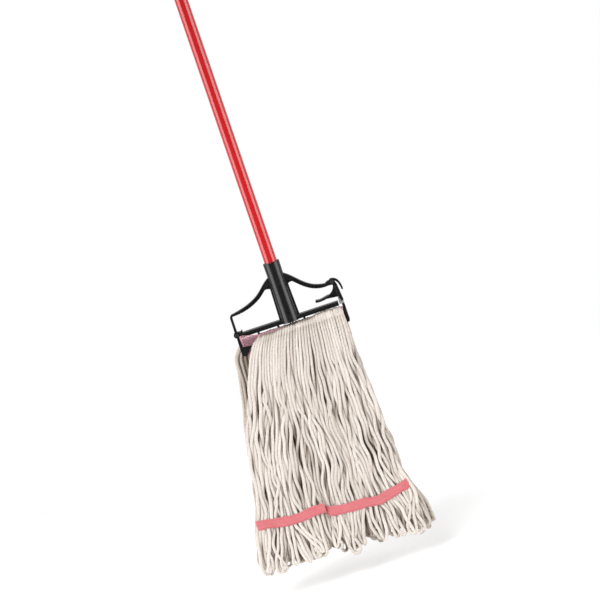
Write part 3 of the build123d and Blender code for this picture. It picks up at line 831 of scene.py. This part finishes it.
def build_hems(left, right, top, bottom, material):
    """The binding over the band's two ends."""
    hems, faces, total = [], [], 0
    for x, inward in ((left, 1), (right, -1)):
        line = band_section(x, top, bottom)[::4]
        tangent = np.gradient(line, axis=0)
        tangent /= np.linalg.norm(tangent, axis=1)[:, None]
        normal = np.cross(tangent, (1.0, 0.0, 0.0))
        wide = HEM_WIDTH * inward
        rings = []
        for shift, lift in ((0, -HEM_HALF), (0, HEM_HALF), (wide, HEM_HALF), (wide, -HEM_HALF)):
            ring = line + normal * lift
            ring[:, 0] = tucked(x + shift, line[:, 2], left)
            rings.append(ring)
        points = np.stack(rings, axis=1).reshape(-1, 3)
        for start in range(total, total + (len(line) - 1) * 4, 4):
            for j in range(4):
                k = (j + 1) % 4
                faces.append((start + j, start + k, start + 4 + k, start + 4 + j))
        end = total + (len(line) - 1) * 4
        faces += [tuple(total + j for j in range(4)), tuple(end + j for j in range(4))[::-1]]
        hems.append(points)
        total += len(points)
    return make_piece("headband_hems", place(np.concatenate(hems)), faces, material)


def build_headband(materials):
    """Open-mesh band folded over the gate bar, with bound ends."""
    low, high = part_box("headband")
    left, right = low.x / MM, high.x / MM
    top = (high.z - FOOT) / MM + 0.1
    bottom = (low.z - FOOT) / MM
    columns = int((right - left) / MESH_CELL)
    rows = int(BAND_FLAT / MESH_CELL)
    xs = np.linspace(left + 1, right - 1, columns + 1)
    grid = []
    for x in xs:
        line = band_section(x, top, bottom)
        pick = np.linspace(0, len(line) - 1, rows + 1).round().astype(int)
        line = line[pick].copy()
        line[:, 0] = tucked(x, line[:, 2], left)
        grid.append(line)
    vertices = np.concatenate(grid)
    faces = []
    for i in range(columns):
        for j in range(rows):
            a = i * (rows + 1) + j
            faces.append((a, a + rows + 1, a + rows + 2, a + 1))
    band = make_piece("headband_mesh", place(vertices), faces, materials["pink_mesh"])
    wire = band.modifiers.new("threads", "WIREFRAME")
    wire.thickness = MESH_THREAD * MM
    wire.use_boundary = True
    wire.use_even_offset = False
    hem = build_hems(left, right, top, bottom, materials["pink_hem"])
    for piece in (band, hem):
        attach(piece, "gate")
    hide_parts("headband")


# ---------------------------------------------------------------- stage
def make_camera():
    """A long lens in front of the mop, looking down a little and rolled."""
    a, e = VIEW_AZIMUTH, VIEW_ELEVATION
    back = Vector((math.sin(a) * math.cos(e), -math.cos(a) * math.cos(e), math.sin(e)))
    data = bpy.data.cameras.new("camera")
    camera = bpy.data.objects.new("camera", data)
    bpy.context.scene.collection.objects.link(camera)
    camera.location = VIEW_CENTRE + back * VIEW_DISTANCE
    level = (-back).to_track_quat("-Z", "Y").to_matrix()
    up = level @ Vector((math.sin(VIEW_ROLL), math.cos(VIEW_ROLL), 0))
    right = (-back).cross(up)
    turn = Matrix((right, up, back)).transposed().to_4x4()
    camera.matrix_world = Matrix.Translation(camera.location) @ turn
    data.sensor_width = 36
    data.lens = 36 * VIEW_DISTANCE / VIEW_WIDTH
    bpy.context.scene.camera = camera


def lamp(name, kind, where, energy, size=None, angle=None):
    """A light aimed at the mop head; size is a panel's two sides, angle a sun's spread."""
    data = bpy.data.lights.new(name, kind)
    data.energy = energy
    if size:
        data.shape = "RECTANGLE"
        data.size, data.size_y = size
    if angle:
        data.angle = math.radians(angle)
    light = bpy.data.objects.new(name, data)
    bpy.context.scene.collection.objects.link(light)
    light.location = where
    light.visible_camera = False
    aim = VIEW_CENTRE - light.location
    light.rotation_euler = aim.to_track_quat("-Z", "Y").to_euler()


def make_world():
    """A backdrop that lights the mop from behind more than from in front, and is seen as white."""
    world = bpy.data.worlds.new("studio")
    bpy.context.scene.world = world
    world.use_nodes = True
    tree = world.node_tree
    sky = next(n for n in tree.nodes if n.type == "BACKGROUND")
    seen = tree.nodes.new("ShaderNodeLightPath").outputs["Is Camera Ray"]
    direction = tree.nodes.new("ShaderNodeSeparateXYZ")
    tree.links.new(tree.nodes.new("ShaderNodeTexCoord").outputs["Generated"], direction.inputs["Vector"])
    strength = add(tree, "ShaderNodeMapRange")
    strength.inputs["From Min"].default_value = FRONT_ENDS
    strength.inputs["From Max"].default_value = BACK_STARTS
    strength.inputs["To Min"].default_value = FRONT_LIGHT
    strength.inputs["To Max"].default_value = BACK_LIGHT
    tree.links.new(direction.outputs["Y"], strength.inputs["Value"])
    tree.links.new(math_node(tree, "MAXIMUM", strength.outputs["Result"], seen), sky.inputs["Strength"])
    sky.inputs["Color"].default_value = (1, 1, 1, 1)


def make_stage():
    """Backdrop, lamps and the plain pale floor."""
    make_world()
    lamp("key", "SUN", VIEW_CENTRE + SUN_FROM, SUN_STRENGTH, angle=SUN_SPREAD)
    x, y, z = PANEL_PLACE
    for word, side in (("left", -1), ("right", 1)):
        where = VIEW_CENTRE + Vector((side * x, y, z))
        lamp(f"{word}_panel", "AREA", where, PANEL_WATTS, size=PANEL_SIZE)
    low = cad_box[0].z - FLOOR_DROP
    side = FLOOR_REACH
    corners = [(-side, -side, low), (side, -side, low), (side, side, low), (-side, side, low)]
    material, tree, shader = new_material("pale_floor")
    tree.links.new(ramp(tree, noise(tree, 3), 0.80, 0.83), shader.inputs["Base Color"])
    shader.inputs["Roughness"].default_value = 0.8
    shader.inputs["Specular IOR Level"].default_value = 0.1
    shader.inputs["Emission Color"].default_value = (1, 1, 1, 1)
    shader.inputs["Emission Strength"].default_value = FLOOR_GLOW
    floor = make_piece("floor", corners, [(0, 1, 2, 3)], material)


bpy.context.scene.view_settings.view_transform = "Standard"
make_camera()
make_stage()
materials = make_materials()
dress_cad(materials)
build_yarn(materials["cotton_yarn"])
for word, side in (("front", -1), ("back", 1)):
    build_tail_band(word, side, materials)
build_headband(materials)
